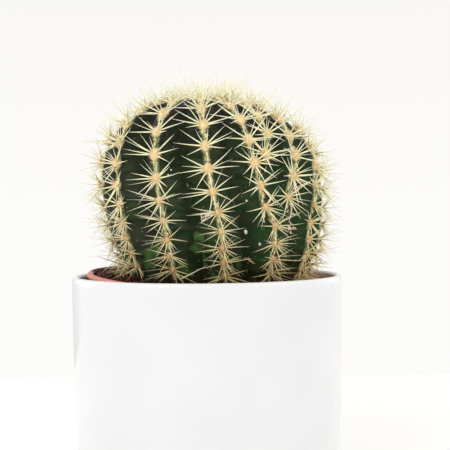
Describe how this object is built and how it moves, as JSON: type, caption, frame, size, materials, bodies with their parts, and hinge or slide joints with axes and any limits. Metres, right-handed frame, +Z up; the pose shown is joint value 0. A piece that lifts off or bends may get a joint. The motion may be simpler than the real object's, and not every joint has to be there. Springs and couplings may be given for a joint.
{
  "type": "potted round cactus",
  "caption": "Round ribbed cactus with straw-coloured spines, in soil in a terracotta-coloured nursery pot that stands inside a plain white glazed outer pot.",
  "frame": {"origin": "middle of the outer pot's flat foot, on the surface that it stands on", "axes": "+Z up along the outer pot's axis; the plant's front, the side that the picture shows, faces -Y; +X is to the right of someone who looks at that front"},
  "size_m": [0.1439, 0.1404, 0.223],
  "materials": {
    "white_glaze": "gloss",
    "terracotta_plastic": "satin",
    "soil": "matte",
    "cactus_skin": "satin"
  },
  "bodies": {
    "root": {"outer_pot": "white_glaze", "nursery_pot": "terracotta_plastic", "potting_soil": "soil", "cactus": "cactus_skin"}
  },
  "joints": []
}
